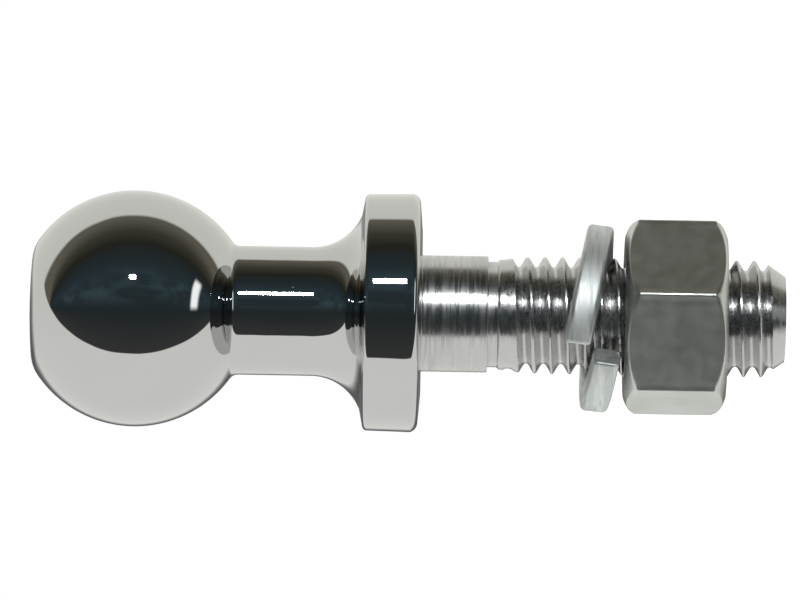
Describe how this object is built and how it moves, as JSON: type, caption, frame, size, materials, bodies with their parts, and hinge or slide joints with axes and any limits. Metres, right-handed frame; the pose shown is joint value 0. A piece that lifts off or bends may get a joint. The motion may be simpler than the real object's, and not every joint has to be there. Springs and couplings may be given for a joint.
{
  "type": "trailer hitch ball",
  "caption": "Chrome-plated forged hitch ball on a threaded shank with a bearing collar, a split spring washer and a hex nut that screws along the thread.",
  "frame": {"origin": "centre of the collar's seat face, where the drawbar bears", "axes": "+Z along the shank's axis towards the ball; +X across the shank, with the washer's split and one corner of the nut towards -Y; +Y completes the right-handed frame"},
  "size_m": [0.0513, 0.0512, 0.1625],
  "materials": {
    "chrome_plate": "polished chrome plate on the ball, neck and collar, turned and plated on the shank",
    "zinc_washer": "satin zinc plate",
    "zinc_nut": "satin zinc plate with handling marks"
  },
  "bodies": {
    "ball_stud": {"ball_stud": "chrome_plate"},
    "lock_washer": {"lock_washer": "zinc_washer"},
    "hex_nut": {"hex_nut": "zinc_nut"}
  },
  "joints": [
    {"name": "washer_slide", "type": "slide", "parent": "ball_stud", "child": "lock_washer", "axis": [0, 0, 1], "range_m": [-0.0507, 0.0226]},
    {"name": "nut_turn", "type": "hinge", "parent": "lock_washer", "child": "hex_nut", "pos_m": [0, 0, -0.0546], "axis": [0, 0, 1], "range_deg": [-4860, 2160]}
  ],
  "couplings": [
    {"joint": "washer_slide", "follows": "nut_turn", "m_per_rad": 0.00059683}
  ]
}
